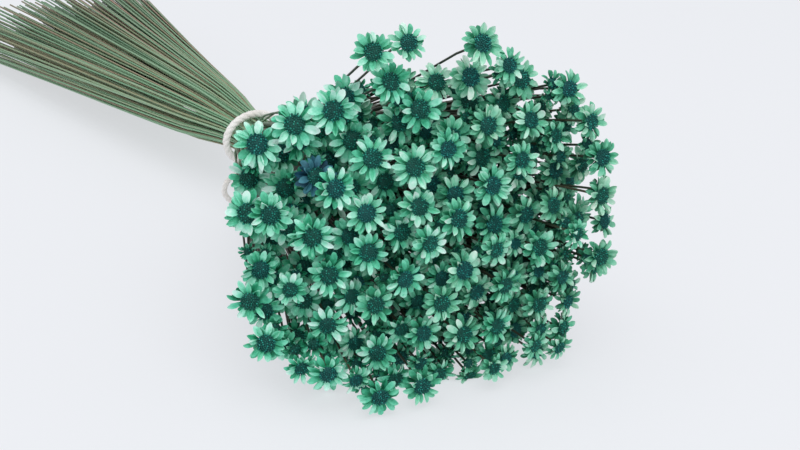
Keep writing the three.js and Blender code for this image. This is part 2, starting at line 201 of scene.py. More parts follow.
def fan_slope(angle):
    """Slope of the outermost stems in the direction of an angle round the heads' axis."""
    side = abs(math.cos(angle) / FAN_SIDE) ** FAN_SQUARENESS
    up = abs(math.sin(angle) / FAN_UP) ** FAN_SQUARENESS
    return (side + up) ** (-1 / FAN_SQUARENESS)


def head_direction(side, up):
    """Direction of a head from the point where all the stems would meet."""
    return (HEADS_AXIS + FAN_ACROSS * side + FAN_UPWARD * up).normalized()


class Head:
    """One flower: where its head sits in the fan, and later its stem and its chances."""

    def __init__(self, side, up, reach, radius):
        self.side, self.up, self.reach, self.radius = side, up, reach, radius
        self.direction = head_direction(side, up)


def place_heads():
    """The heads, dropped one by one at random in the fan, each kept where it clears the rest."""
    draw = seeded_draw(SEED)
    heads = [Head(side, up, reach, diameter / 2) for side, up, reach, diameter in LEADERS]
    placed = np.zeros((HEAD_TRIES, 5))
    for row, head in enumerate(heads):
        placed[row] = (*head.direction, head.reach, head.radius)
    for tried in range(HEAD_TRIES):
        angle = 2 * math.pi * draw()
        share = math.sqrt(draw())
        slope = share * fan_slope(angle)
        side, up = slope * math.cos(angle), slope * math.sin(angle)
        layer = math.floor(LAYERS * draw())
        uneven = LAYER_UNEVEN * (draw() - 0.5)
        gain = HEAD_DIAMETER_GAIN_LEFT * (up / FAN_UP - side / FAN_SIDE)
        spread = HEAD_DIAMETER_SPREAD * (draw() - 0.5)
        radius = (HEAD_DIAMETER + gain + spread) * (1 - HEAD_SHRINK * tried / HEAD_TRIES) / 2
        reach = (REACH + REACH_GAIN_RIGHT * side / FAN_SIDE - REACH_FALL_RIM * share ** 2
                 - LAYER_STEP * layer + uneven)
        head = Head(side, up, reach, radius)
        others = placed[:len(heads)]
        inner = np.where(reach < others[:, 3], radius, others[:, 4])
        apart = np.linalg.norm(others[:, :3] - head.direction, axis=1) * np.minimum(reach, others[:, 3])
        level = np.abs(reach - others[:, 3]) < LAYER_REACH
        beside = radius + others[:, 4] - SIDE_OVERLAP
        alongside = STEM_PASS_SHARE * inner + STEM_RADIUS + CLEARANCE
        if (apart > np.where(level, beside, alongside)).all():
            placed[len(heads)] = (*head.direction, reach, radius)
            heads.append(head)
    return heads


def group_heads(heads):
    """Gathers neighbouring heads into groups and returns each group's middle in the fan."""
    places = np.array([(head.side, head.up) for head in heads])
    middles = places[:GROUPS].copy()
    for _ in range(GROUPING_ROUNDS):
        groups = np.linalg.norm(places[:, None] - middles, axis=2).argmin(axis=1)
        middles = np.array([places[groups == group].mean(axis=0) for group in range(GROUPS)])
    for head, group in zip(heads, groups):
        head.group = int(group)
    return middles


def place_rods(middles):
    """Where each group's stems pass the waist: pushed apart where they'd be too close."""
    limits = [half - TIE_CORD / 2 - ROD_RADIUS - CLEARANCE for half in (TIE_SIDE, TIE_UP)]
    furthest = max(math.hypot(side / limits[0], up / limits[1]) for side, up in middles)
    rods = [[side / furthest, up / furthest] for side, up in middles]
    for _ in range(PUSH_ROUNDS):
        for rod in rods:
            for other in rods:
                distance = math.hypot(other[0] - rod[0], other[1] - rod[1])
                if other is rod or distance >= ROD_SPACING:
                    continue
                push = PUSH * (ROD_SPACING - distance) / distance
                step = [(other[0] - rod[0]) * push, (other[1] - rod[1]) * push]
                for axis in (0, 1):
                    rod[axis] -= step[axis]
                    other[axis] += step[axis]
            outside = math.hypot(rod[0] / limits[0], rod[1] / limits[1])
            if outside > 1:
                rod[:] = [rod[0] / outside, rod[1] / outside]
    return rods


def across_axis(axis):
    """Two directions at right angles to an axis."""
    first = Vector((0, 0, 1)).cross(axis).normalized()
    return first, axis.cross(first)


def tail_place(side, up):
    """A place in the tail, spread there as the heads are in their fan."""
    return TAIL_MIDDLE + Vector((side / FAN_SIDE * TAIL_HALF_WIDTH, 0, up / FAN_UP * TAIL_HALF_HEIGHT))


def young_flowers(heads):
    """Short young flowers in the gaps of the fan, each in the group of the nearest open one."""
    draw = seeded_draw(SEED + 3)
    found = []
    for _ in range(YOUNG_TRIES):
        angle = 2 * math.pi * draw()
        slope = math.sqrt(draw()) * fan_slope(angle)
        radius = (YOUNG_DIAMETER + YOUNG_DIAMETER_SPREAD * draw()) / 2
        depth = YOUNG_DEPTH + YOUNG_DEPTH_SPREAD * draw()
        young = Head(slope * math.cos(angle), slope * math.sin(angle), 0, radius)
        nearest = min(heads, key=lambda head: (head.direction - young.direction).length)
        young.reach, young.group = nearest.reach - depth, nearest.group
        gap = (nearest.direction - young.direction).length * nearest.reach
        least = GAP_TO_YOUNG * (1 - GAP_FALL_RIGHT * young.side / FAN_SIDE)
        clear = all(
            (other.direction - young.direction).length * other.reach > least * (other.radius + radius)
            for other in found)
        if gap > GAP_TO_OPEN * nearest.radius and clear:
            found.append(young)
    return found


def lay_out_flowers():
    """All open and young heads with their groups, how they face and the places their stems pass."""
    opened = place_heads()
    middles = group_heads(opened)
    rods = place_rods(middles)
    rim = [Head(side, up, reach, diameter / 2) for side, up, reach, diameter in RIM_FLOWERS]
    for head in rim:
        head.group = min(opened, key=lambda other: (other.direction - head.direction).length).group
    opened += rim
    young = young_flowers(opened)
    draw = seeded_draw(SEED + 1)
    for head in opened + young:
        side, up = middles[head.group]
        rod = WAIST + Vector((rods[head.group][0], 0, rods[head.group][1]))
        own = Vector((head.side - side, 0, head.up - up)).normalized()
        front = MEETING_POINT + head_direction(side, up) * (MEET_BEHIND + PART_AHEAD)
        free = WAIST + Vector((side, 0, up)) * MEET_BEHIND
        behind = free.lerp(tail_place(side, up), PART_BEHIND / TAIL_LENGTH)
        end = tail_place(head.side, head.up)
        end += (end - behind).normalized() * TAIL_UNEVEN * (draw() - 0.5)
        head.place = MEETING_POINT + head.direction * head.reach
        first, second = across_axis(head.direction)
        head.facing = (head.direction + first * NOD * (2 * draw() - 1)
                       + second * NOD * (2 * draw() - 1)).normalized()
        head.turn = 2 * math.pi * draw()
        head.route = (front, rod, own, behind, end)
    return opened, young, middles


# Materials
def linear(hex_colour):
    """Linear colour of an sRGB hex value."""
    parts = [int(hex_colour[start:start + 2], 16) / 255 for start in (0, 2, 4)]
    return tuple(part / 12.92 if part <= 0.04045 else ((part + 0.055) / 1.055) ** 2.4 for part in parts)


def add(tree, kind, inputs=None, **settings):
    """A new node of a tree with its settings. Its inputs are numbers, colours, nodes or sockets."""
    node = tree.nodes.new(kind)
    for name, value in settings.items():
        setattr(node, name, value)
    for key, value in (inputs or {}).items():
        socket = node.inputs[key]
        if isinstance(key, str):
            socket = next(each for each in node.inputs if each.enabled and each.name == key)
        if isinstance(value, bpy.types.Node):
            value = next(each for each in value.outputs if each.enabled)
        if isinstance(value, bpy.types.NodeSocket):
            tree.links.new(value, socket)
        elif socket.type == "RGBA":
            socket.default_value = (*value[:3], 1)
        else:
            socket.default_value = value
    return node


def new_material(name, **surface):
    """A material with only a Principled shader, and that shader's values."""
    material = bpy.data.materials.new(name)
    material.use_nodes = True
    tree = material.node_tree
    tree.nodes.clear()
    shader = add(tree, "ShaderNodeBsdfPrincipled", surface)
    add(tree, "ShaderNodeOutputMaterial", {"Surface": shader})
    return material, tree, shader


def ramp(tree, factor, *stops):
    """A colour ramp node with (place, colour) stops, each colour a hex value or already linear."""
    node = add(tree, "ShaderNodeValToRGB", {0: factor})
    while len(node.color_ramp.elements) < len(stops):
        node.color_ramp.elements.new(0.5)
    for element, (place, colour) in zip(node.color_ramp.elements, stops):
        element.position = place
        element.color = (*(linear(colour) if isinstance(colour, str) else colour), 1)
    return node


def coat(tree, shader, colour, relief=None, strength=0.0, depth=0.0):
    """Gives a shader its colour and, where there is one, a fine relief of a depth in metres."""
    tree.links.new(next(out for out in colour.outputs if out.enabled), shader.inputs["Base Color"])
    if relief is not None:
        bump = add(tree, "ShaderNodeBump", {"Height": relief, "Strength": strength, "Distance": depth})
        tree.links.new(bump.outputs["Normal"], shader.inputs["Normal"])


def bract_material(name):
    """Dyed papery bract: dry, thin and faintly ribbed, so it is matt with a soft sheen and pale tips."""
    ribbing, blotchiness, paler_tip, paler_rib, rib_relief = 26.0, 0.55, 0.44, 0.035, 0.3
    material, tree, shader = new_material(name, Roughness=0.58, IOR=1.42)
    along, across, shade, fade, inky = (
        add(tree, "ShaderNodeAttribute", attribute_name=value).outputs["Fac"]
        for value in ("along", "across", "shade", "fade", "inky"))
    place = add(tree, "ShaderNodeTexCoord").outputs["Object"]
    # Dye takes unevenly: blotches about 1.5 mm wide
    blotch = add(tree, "ShaderNodeTexNoise", {"Vector": place, "Scale": 650.0, "Detail": 2.0})
    # Four ribs from the middle of a bract to its edge
    ribs = add(tree, "ShaderNodeMath", {0: across, 1: ribbing}, operation="MULTIPLY")
    ribs = add(tree, "ShaderNodeMath", {0: ribs}, operation="SINE")
    tone = add(tree, "ShaderNodeMath", {0: blotch, 1: blotchiness, 2: -blotchiness / 2},
               operation="MULTIPLY_ADD")
    tone = add(tree, "ShaderNodeMath", {0: shade, 1: tone}, operation="ADD")
    tone = add(tree, "ShaderNodeMath", {0: along, 1: paler_tip, 2: tone}, operation="MULTIPLY_ADD")
    tone = add(tree, "ShaderNodeMath", {0: ribs, 1: paler_rib, 2: tone}, operation="MULTIPLY_ADD")
    dye = bpy.context.scene.glixia_bunch.dye
    green = ramp(tree, tone, (0.0, "126a4c"), (0.25, "2da078"), (0.5, dye), (0.75, "a2eed4"),
                 (1.0, "defcf3"))
    straw = ramp(tree, tone, (0.0, "24684c"), (0.25, "4a9c79"), (0.5, "85c6a6"), (0.75, "badfc6"),
                 (1.0, "e5f5e4"))
    blue = ramp(tree, tone, (0.0, "0a2c3a"), (0.5, "164c63"), (1.0, "4f93a2"))
    mixed = add(tree, "ShaderNodeMix", {"Factor": fade, "A": green, "B": straw}, data_type="RGBA")
    mixed = add(tree, "ShaderNodeMix", {"Factor": inky, "A": mixed, "B": blue}, data_type="RGBA")
    relief = add(tree, "ShaderNodeMath", {0: ribs, 1: rib_relief, 2: blotch}, operation="MULTIPLY_ADD")
    coat(tree, shader, mixed, relief, 0.35, 0.1 * MM)
    return material


def floret_material(name):
    """Dyed floret buds: packed tiny buds that took the dye darkest, dull, with painted glints on a few tips.
    """
    material, tree, shader = new_material(name, Roughness=0.62, IOR=1.45)
    along, shade, ink = (
        add(tree, "ShaderNodeAttribute", attribute_name=value).outputs["Fac"]
        for value in ("along", "shade", "ink"))
    # A few buds in a disc get painted glints at their tips
    painted_glint = add(tree, "ShaderNodeMath", {0: shade, 1: 3.0}, operation="POWER")
    tone = add(tree, "ShaderNodeMath", {0: along, 1: painted_glint}, operation="MULTIPLY")
    green = ramp(tree, tone, (0.0, "0d5a4e"), (0.3, "147c6c"), (0.7, "25a38e"), (1.0, "74d0ba"))
    blue = ramp(tree, tone, (0.0, "0b595a"), (0.3, "127472"), (0.7, "239a94"), (1.0, "68bac0"))
    mixed = add(tree, "ShaderNodeMix", {"Factor": ink, "A": green, "B": blue}, data_type="RGBA")
    coat(tree, shader, mixed)
    return material


def stem_material(name):
    """Dyed straw stem: hollow wiry straw, lightly glossy, with long streaks where the dye is thin, and
    painted shade near the heads.
    """
    streakiness = 0.4
    material, tree, shader = new_material(name, Roughness=0.48, IOR=1.45)
    tint, bare = (
        add(tree, "ShaderNodeAttribute", attribute_name=value).outputs["Fac"] for value in ("tint", "bare"))
    place = add(tree, "ShaderNodeTexCoord").outputs["Object"]
    # Streaks 0.4 mm wide and 20 mm long
    stretched = add(tree, "ShaderNodeMapping", {"Vector": place, "Scale": (2500.0, 50.0, 2500.0)})
    streak = add(tree, "ShaderNodeTexNoise", {"Vector": stretched, "Scale": 1.0, "Detail": 3.0})
    tone = add(tree, "ShaderNodeMath", {0: streak, 1: streakiness, 2: -streakiness / 2},
               operation="MULTIPLY_ADD")
    tone = add(tree, "ShaderNodeMath", {0: tone, 1: tint}, operation="ADD")
    dyed = ramp(tree, tone, (0.0, "5c765a"), (0.25, "7cab86"), (0.5, "95b896"), (0.72, "989c7a"),
                (0.9, "a48e78"), (1.0, "c0a090"))
    # Near the heads the stems are darkened as painted shade inside the fan of heads; toward the cut ends they
    # are drier and browner
    dry_and_shaded = ramp(tree, tone, (0.0, "23241b"), (0.5, "424838"), (1.0, "655a48"))
    colour = add(tree, "ShaderNodeMix", {"Factor": bare, "A": dyed, "B": dry_and_shaded}, data_type="RGBA")
    coat(tree, shader, colour, streak, 0.25, 0.1 * MM)
    return material


def cotton_material(name):
    """Soft cotton cord: loosely spun undyed yarn, fully matt with a fuzzy sheen."""
    fuzziness = 0.5
    material, tree, shader = new_material(
        name, **{"Roughness": 0.92, "Sheen Weight": 0.35, "Sheen Roughness": 0.6})
    place = add(tree, "ShaderNodeTexCoord").outputs["Object"]
    # Yarn fibres, drawn about 0.3 mm apart, coarser than real so that they show
    fibre = add(tree, "ShaderNodeTexNoise", {"Vector": place, "Scale": 3200.0, "Detail": 3.0})
    # Faint handling marks about 6 mm wide
    soil = add(tree, "ShaderNodeTexNoise", {"Vector": place, "Scale": 160.0, "Detail": 2.0})
    tone = add(tree, "ShaderNodeMath", {0: fibre, 1: fuzziness, 2: -fuzziness / 2},
               operation="MULTIPLY_ADD")
    tone = add(tree, "ShaderNodeMath", {0: tone, 1: soil}, operation="ADD")
    yarn = bpy.context.scene.glixia_cord.yarn
    coat(tree, shader, ramp(tree, tone, (0.2, "e6ded6"), (0.5, yarn), (0.8, "fbf9f6")), fibre, 0.5, 0.2 * MM)
    return material


def floor_material(name):
    """Plain matt paper sweep, lit from behind as well, so that shadows on it are faint."""
    return new_material(name, **{
        "Base Color": linear("8a8b8e"), "Roughness": 0.9, "Emission Color": linear("f4f6fa"),
        "Emission Strength": 0.65})[0]


MATERIALS = {
    "dyed_papery_bract": bract_material, "dyed_floret_buds": floret_material,
    "dyed_straw_stem": stem_material, "soft_cotton_cord": cotton_material,
    "plain_paper_sweep": floor_material,
}


def material_of(name):
    """The material of this name, made once."""
    return bpy.data.materials.get(name) or MATERIALS[name](name)


# Meshes
def mesh_of(name, points, faces=(), edges=(), **attributes):
    """A mesh with named values on its points."""
    mesh = bpy.data.meshes.new(name)
    mesh.from_pydata([tuple(point) for point in points], edges, faces)
    for label, values in attributes.items():
        values = np.asarray(values, dtype=np.float32)
        kind, field = ("FLOAT_VECTOR", "vector") if values.ndim > 1 else ("FLOAT", "value")
        mesh.attributes.new(label, kind, "POINT").data.foreach_set(field, values.ravel())
    return mesh


def lathed(name, profile, sides, along=None):
    """A closed turned shape from (radius, height) rings, of which the first and last are points."""
    along = along or [0] * len(profile)
    points, faces, values = [(0, 0, profile[0][1])], [], [along[0]]
    for (radius, height), value in zip(profile[1:-1], along[1:-1]):
        for corner in range(sides):
            angle = 2 * math.pi * corner / sides
            points.append((radius * math.cos(angle), radius * math.sin(angle), height))
            values.append(value)
    points.append((0, 0, profile[-1][1]))
    values.append(along[-1])
    rings = len(profile) - 2
    for corner in range(sides):
        following = (corner + 1) % sides
        faces.append((0, 1 + following, 1 + corner))
        for ring in range(rings - 1):
            low, high = 1 + ring * sides, 1 + (ring + 1) * sides
            faces.append((low + corner, low + following, high + following, high + corner))
        top = 1 + (rings - 1) * sides
        faces.append((len(points) - 1, top + corner, top + following))
    return mesh_of(name, points, faces, along=values, across=[0] * len(points))


# A bract's half-width along its length, as shares of its greatest half-width
BRACT_OUTLINE = ((0, 0.4), (0.2, 0.72), (0.45, 1.0), (0.72, 0.94), (0.92, 0.5))
BRACT_ACROSS = (-1, 0, 1)
BRACT_THICKNESS = 0.05
CUP_LEVEL = 0.35  # share of its cup that lies below the midrib's line
TWIST_RISE = 0.35  # its twisted edges rise by this share of the full turn
# Curl (never 0), cup and twist of the bracts that the heads choose from
BRACT_FORMS = (
    (-0.35, 0.16, 0.1), (-0.6, 0.1, -0.25), (0.3, 0.2, 0.2), (-0.1, 0.26, -0.1), (-0.9, 0.12, 0.35),
    (0.65, 0.3, -0.2),
)
# Radius and height of a bud's rings, and how far along it each is
BUD_PROFILE, BUD_ALONG = ((0, -0.6), (0.8, -0.1), (0.85, 0.35), (0, 0.85)), (0, 0.1, 0.6, 1)
# Radius and height of the rings of the cup and of the disc, as shares of the head's radius
CUP_PROFILE = (
    (0, -0.5), (0.09, -0.46), (0.16, -0.36), (0.32, -0.2), (0.45, -0.06), (0.47, 0.1), (0, 0.12),
)
DISC_PROFILE = ((0, 0.02), (0.46, 0.03), (0.47, 0.14), (0.3, 0.23), (0, 0.27))
BUD_SIDES, CUP_SIDES, DISC_SIDES = 4, 8, 10
SHARP_RIM = math.radians(80)


def bract_shape(name, curl, cup, twist):
    """A bract one unit long and two wide: a thin closed leaf that curls and twists to its tip."""
    points, along, across, faces = [], [], [], []

    def bent(share, side, rise):
        angle = curl * share
        forward = math.sin(angle) / curl
        height = (1 - math.cos(angle)) / curl
        turned = twist * share
        sideways = side * math.cos(turned) - rise * math.sin(turned)
        raised = side * math.sin(turned) * TWIST_RISE + rise * math.cos(turned)
        return (forward - raised * math.sin(angle), sideways, height + raised * math.cos(angle))

    for share, width in BRACT_OUTLINE:
        for side in BRACT_ACROSS:
            points.append(bent(share, side * width, cup * (side * side - CUP_LEVEL) * width))
            along.append(share)
            across.append(side)
        points.append(bent(share, 0, -CUP_LEVEL * cup * width - BRACT_THICKNESS))
        along.append(share)
        across.append(0)
    size = len(BRACT_ACROSS) + 1
    for ring in range(len(BRACT_OUTLINE) - 1):
        for corner in range(size):
            here, beside = ring * size + corner, ring * size + (corner + 1) % size
            faces.append((here, here + size, beside + size, beside))
    tip = len(points)
    points.append(bent(1, 0, 0))
    along.append(1)
    across.append(0)
    last = (len(BRACT_OUTLINE) - 1) * size
    for corner in range(size):
        faces.append((last + corner, tip, last + (corner + 1) % size))
    faces.append(tuple(range(size)))
    return mesh_of(name, points, faces, along=along, across=across)


def shape_collection(name, meshes):
    """A collection outside the scene that holds shapes for a tree to place."""
    collection = bpy.data.collections.new(name)
    for mesh in meshes:
        collection.objects.link(bpy.data.objects.new(mesh.name, mesh))
    return collection


def joined(name, meshes):
    """One object of several meshes, at the origin, smooth but for its sharp rims."""
    objects = [bpy.data.objects.new(name, mesh) for mesh in meshes]
    for each in objects:
        bpy.context.scene.collection.objects.link(each)
    if len(objects) > 1:
        with bpy.context.temp_override(active_object=objects[0], selected_editable_objects=objects):
            bpy.ops.object.join()
    piece = objects[0]
    piece.name = piece.data.name = name
    piece.data.shade_smooth()
    piece.data.set_sharp_from_angle(angle=SHARP_RIM)
    return piece


# Node trees
INPUT_KINDS = {
    int: "Int", float: "Float", bpy.types.Material: "Material", bpy.types.Collection: "Collection",
}


def new_tree(name, **inputs):
    """A Geometry Nodes tree with named inputs, each given as its default or, with none, its type."""
    tree = bpy.data.node_groups.new(name, "GeometryNodeTree")
    for way in ("INPUT", "OUTPUT"):
        tree.interface.new_socket("Geometry", in_out=way, socket_type="NodeSocketGeometry")
    for label, value in {**inputs, "material": bpy.types.Material}.items():
        kind = value if isinstance(value, type) else type(value)
        socket = tree.interface.new_socket(
            label.replace("_", " ").title(), in_out="INPUT", socket_type="NodeSocket" + INPUT_KINDS[kind])
        if kind is not value:
            socket.default_value = value
    return tree, add(tree, "NodeGroupInput").outputs, add(tree, "NodeGroupOutput")


def end_tree(tree, size, made, geometry):
    """Makes the geometry real, paints it and puts it out."""
    real = add(tree, "GeometryNodeRealizeInstances", {"Geometry": geometry})
    painted = add(tree, "GeometryNodeSetMaterial", {"Geometry": real, "Material": size["Material"]})
    tree.links.new(painted.outputs["Geometry"], made.inputs["Geometry"])
    return tree


def grown(name, source, tree, **values):
    """The plain mesh that a node tree makes from a source mesh."""
    holder = bpy.data.objects.new(name, source)
    bpy.context.scene.collection.objects.link(holder)
    modifier = holder.modifiers.new(name, "NODES")
    modifier.node_group = tree
    for item in tree.interface.items_tree:
        label = item.name.replace(" ", "_").lower()
        if item.in_out == "INPUT" and label in values:
            modifier[item.identifier] = values[label]
    graph = bpy.context.evaluated_depsgraph_get()
    mesh = bpy.data.meshes.new_from_object(
        holder.evaluated_get(graph), preserve_all_data_layers=True, depsgraph=graph)
    bpy.data.objects.remove(holder)
    if not mesh.materials[0]:
        mesh.materials.pop(index=0)
    return mesh


def head_pose(tree):
    """How a head is turned, from what its point carries."""
    facing, first = (
        add(tree, "GeometryNodeInputNamedAttribute", {"Name": value}, data_type="FLOAT_VECTOR")
        for value in ("facing", "first"))
    return add(tree, "FunctionNodeAxesToRotation", {0: facing, 1: first},
               primary_axis="Z", secondary_axis="X")


def chances(tree, seed, *limits):
    """Random values between pairs of limits, each with its own seed."""
    found = []
    for number, (low, high) in enumerate(limits):
        own = add(tree, "ShaderNodeMath", {0: seed, 1: float(number)}, operation="ADD")
        found.append(add(tree, "FunctionNodeRandomValue", {"Min": low, "Max": high, "Seed": own},
                         data_type="FLOAT"))
    return found


def stand_on_head(tree, points, radius, angle, slope, spot):
    """Moves copies of a head's point to their spots round its axis. Gives them and how each leans."""
    about = add(tree, "ShaderNodeCombineXYZ", {"Z": angle})
    about = add(tree, "FunctionNodeEulerToRotation", {0: about})
    turned = add(tree, "FunctionNodeRotateRotation", {0: head_pose(tree), 1: about}, rotation_space="LOCAL")
    slope = add(tree, "FunctionNodeEulerToRotation", {0: slope})
    leaning = add(tree, "FunctionNodeRotateRotation", {0: turned, 1: slope}, rotation_space="LOCAL")
    spot = add(tree, "ShaderNodeVectorMath", {0: spot, "Scale": radius}, operation="SCALE")
    spot = add(tree, "FunctionNodeRotateVector", {0: spot, 1: turned})
    return add(tree, "GeometryNodeSetPosition", {"Geometry": points, "Offset": spot}), leaning


def end_with_shapes(tree, size, made, points, shade, rotation, scale, pick=None):
    """Ends a tree with a shape on each point: the one that is picked, or the only one."""
    stored = add(tree, "GeometryNodeStoreNamedAttribute",
                 {"Geometry": points, "Name": "shade", "Value": shade}, data_type="FLOAT", domain="POINT")
    several = pick is not None
    shapes = add(tree, "GeometryNodeCollectionInfo", {
        "Collection": size["Shapes"], "Separate Children": several, "Reset Children": several})
    placed = add(tree, "GeometryNodeInstanceOnPoints", {
        "Points": stored, "Instance": shapes, "Rotation": rotation, "Scale": scale,
        "Pick Instance": several, **({"Instance Index": pick} if several else {})})
    return end_tree(tree, size, made, placed)


def bract_tree():
    """Rings of bracts round each head: every head's point is repeated once for each bract."""
    tree, size, made = new_tree(
        "Bract rings", rings=3, ring_stagger=0.5, bract_length=0.74, bract_width=0.162, root_radius=0.4,
        root_height=0.1, root_step=-0.09, lift=0.38, lift_step=-0.36, wobble=0.22, tilt=0.26, roll=0.36,
        third_ring_shorter=-0.26, shade_spread=0.44, shade_step=-0.17, seed=7, shapes=bpy.types.Collection)
    count, openness, radius, tone = (
        add(tree, "GeometryNodeInputNamedAttribute", {"Name": value}, data_type="FLOAT")
        for value in ("bracts", "closing", "radius", "tone"))
    total = add(tree, "ShaderNodeMath", {0: count, 1: size["Rings"]}, operation="MULTIPLY")
    copies = add(tree, "GeometryNodeDuplicateElements",
                 {"Geometry": size["Geometry"], "Amount": total}, domain="POINT")
    index = copies.outputs["Duplicate Index"]
    ring = add(tree, "ShaderNodeMath", {0: index, 1: count}, operation="DIVIDE")
    ring = add(tree, "ShaderNodeMath", {0: ring}, operation="FLOOR")
    wobble, tilt, longer, wider, shade, pick, roll = chances(
        tree, size["Seed"], (-1.0, 1.0), (-1.0, 1.0), (0.82, 1.08), (0.78, 1.2), (0.0, 1.0),
        (0.0, len(BRACT_FORMS) - 0.01), (-1.0, 1.0))
    step = add(tree, "ShaderNodeMath", {0: ring, 1: size["Ring Stagger"], 2: index},
               operation="MULTIPLY_ADD")
    step = add(tree, "ShaderNodeMath", {0: wobble, 1: size["Wobble"], 2: step}, operation="MULTIPLY_ADD")
    angle = add(tree, "ShaderNodeMath", {0: step, 1: count}, operation="DIVIDE")
    angle = add(tree, "ShaderNodeMath", {0: angle, 1: 2 * math.pi}, operation="MULTIPLY")
    lift = add(tree, "ShaderNodeMath", {0: ring, 1: size["Lift Step"], 2: size["Lift"]},
               operation="MULTIPLY_ADD")
    lift = add(tree, "ShaderNodeMath", {0: lift, 1: openness}, operation="ADD")
    lift = add(tree, "ShaderNodeMath", {0: tilt, 1: size["Tilt"], 2: lift}, operation="MULTIPLY_ADD")
    down = add(tree, "ShaderNodeMath", {0: lift, 1: -1.0}, operation="MULTIPLY")
    roll = add(tree, "ShaderNodeMath", {0: roll, 1: size["Roll"]}, operation="MULTIPLY")
    slope = add(tree, "ShaderNodeCombineXYZ", {"X": roll, "Y": down})
    height = add(tree, "ShaderNodeMath", {0: ring, 1: size["Root Step"], 2: size["Root Height"]},
                 operation="MULTIPLY_ADD")
    root = add(tree, "ShaderNodeCombineXYZ", {"X": size["Root Radius"], "Z": height})
    moved, leaning = stand_on_head(tree, copies.outputs["Geometry"], radius, angle, slope, root)
    # The third ring, under the others, is of shorter bracts
    shorter = add(tree, "ShaderNodeMath", {0: ring, 1: 1.5}, operation="GREATER_THAN")
    shorter = add(tree, "ShaderNodeMath", {0: shorter, 1: size["Third Ring Shorter"], 2: 1.0},
                  operation="MULTIPLY_ADD")
    length = add(tree, "ShaderNodeMath", {0: size["Bract Length"], 1: longer}, operation="MULTIPLY")
    length = add(tree, "ShaderNodeMath", {0: length, 1: shorter}, operation="MULTIPLY")
    width = add(tree, "ShaderNodeMath", {0: size["Bract Width"], 1: wider}, operation="MULTIPLY")
    scale = add(tree, "ShaderNodeCombineXYZ", {"X": length, "Y": width, "Z": size["Bract Length"]})
    scale = add(tree, "ShaderNodeVectorMath", {0: scale, "Scale": radius}, operation="SCALE")
    shade = add(tree, "ShaderNodeMath", {0: shade, 1: size["Shade Spread"], 2: tone},
                operation="MULTIPLY_ADD")
    shade = add(tree, "ShaderNodeMath", {0: ring, 1: size["Shade Step"], 2: shade},
                operation="MULTIPLY_ADD")
    return end_with_shapes(tree, size, made, moved, shade, leaning, scale, pick)


def floret_tree():
    """Buds on a spiral over each head's disc."""
    tree, size, made = new_tree(
        "Floret disc", full_count=64, disc_radius=0.49, disc_height=0.18, disc_dome=0.11,
        bud_radius=0.057, bud_height=0.1, spread=0.5, seed=11, shapes=bpy.types.Collection)
    count, radius = (
        add(tree, "GeometryNodeInputNamedAttribute", {"Name": value}, data_type="FLOAT")
        for value in ("buds", "radius"))
    copies = add(tree, "GeometryNodeDuplicateElements",
                 {"Geometry": size["Geometry"], "Amount": count}, domain="POINT")
    index = copies.outputs["Duplicate Index"]
    lean, sideways, wider, taller, shade = chances(
        tree, size["Seed"], (-0.35, 0.35), (-0.3, 0.3), (0.85, 1.2), (0.7, 1.35), (0.0, 1.0))
    share = add(tree, "ShaderNodeMath", {0: index, 1: 0.5}, operation="ADD")
    share = add(tree, "ShaderNodeMath", {0: share, 1: count}, operation="DIVIDE")
    # Fewer buds are coarser, so that they still cover the disc
    coarse = add(tree, "ShaderNodeMath", {0: size["Full Count"], 1: count}, operation="DIVIDE")
    coarse = add(tree, "ShaderNodeMath", {0: coarse, 1: 0.5}, operation="POWER")
    out = add(tree, "ShaderNodeMath", {0: share, 1: 0.5}, operation="POWER")
    golden = math.pi * (3 - math.sqrt(5))
    angle = add(tree, "ShaderNodeMath", {0: index, 1: golden}, operation="MULTIPLY")
    lean = add(tree, "ShaderNodeMath", {0: out, 1: size["Spread"], 2: lean}, operation="MULTIPLY_ADD")
    slope = add(tree, "ShaderNodeCombineXYZ", {"X": sideways, "Y": lean})
    far = add(tree, "ShaderNodeMath", {0: out, 1: size["Disc Radius"]}, operation="MULTIPLY")
    fall = add(tree, "ShaderNodeMath", {0: share, 1: -1.0, 2: 1.0}, operation="MULTIPLY_ADD")
    height = add(tree, "ShaderNodeMath", {0: fall, 1: size["Disc Dome"], 2: size["Disc Height"]},
                 operation="MULTIPLY_ADD")
    spot = add(tree, "ShaderNodeCombineXYZ", {"X": far, "Z": height})
    moved, leaning = stand_on_head(tree, copies.outputs["Geometry"], radius, angle, slope, spot)
    wide = add(tree, "ShaderNodeMath", {0: size["Bud Radius"], 1: wider}, operation="MULTIPLY")
    wide = add(tree, "ShaderNodeMath", {0: wide, 1: coarse}, operation="MULTIPLY")
    tall = add(tree, "ShaderNodeMath", {0: size["Bud Height"], 1: taller}, operation="MULTIPLY")
    scale = add(tree, "ShaderNodeCombineXYZ", {"X": wide, "Y": wide, "Z": tall})
    scale = add(tree, "ShaderNodeVectorMath", {0: scale, "Scale": radius}, operation="SCALE")
    return end_with_shapes(tree, size, made, moved, shade, leaning, scale)


def cup_tree():
    """The turned cup or disc under each head's bracts or buds, sized to the head."""
    tree, size, made = new_tree("Head cup", shapes=bpy.types.Collection)
    radius, tone = (
        add(tree, "GeometryNodeInputNamedAttribute", {"Name": value}, data_type="FLOAT")
        for value in ("radius", "tone"))
    return end_with_shapes(tree, size, made, size["Geometry"], tone, head_pose(tree), radius)


def even_path(tree, size):
    """A smooth curve through the points of a mesh, with points of its own evenly along it."""
    curve = add(tree, "GeometryNodeMeshToCurve", {"Mesh": size["Geometry"]})
    smooth = add(tree, "GeometryNodeCurveSplineType", {"Curve": curve}, spline_type="CATMULL_ROM")
    return add(tree, "GeometryNodeResampleCurve",
               {"Curve": smooth, "Length": size["Point Spacing"]}, mode="LENGTH")


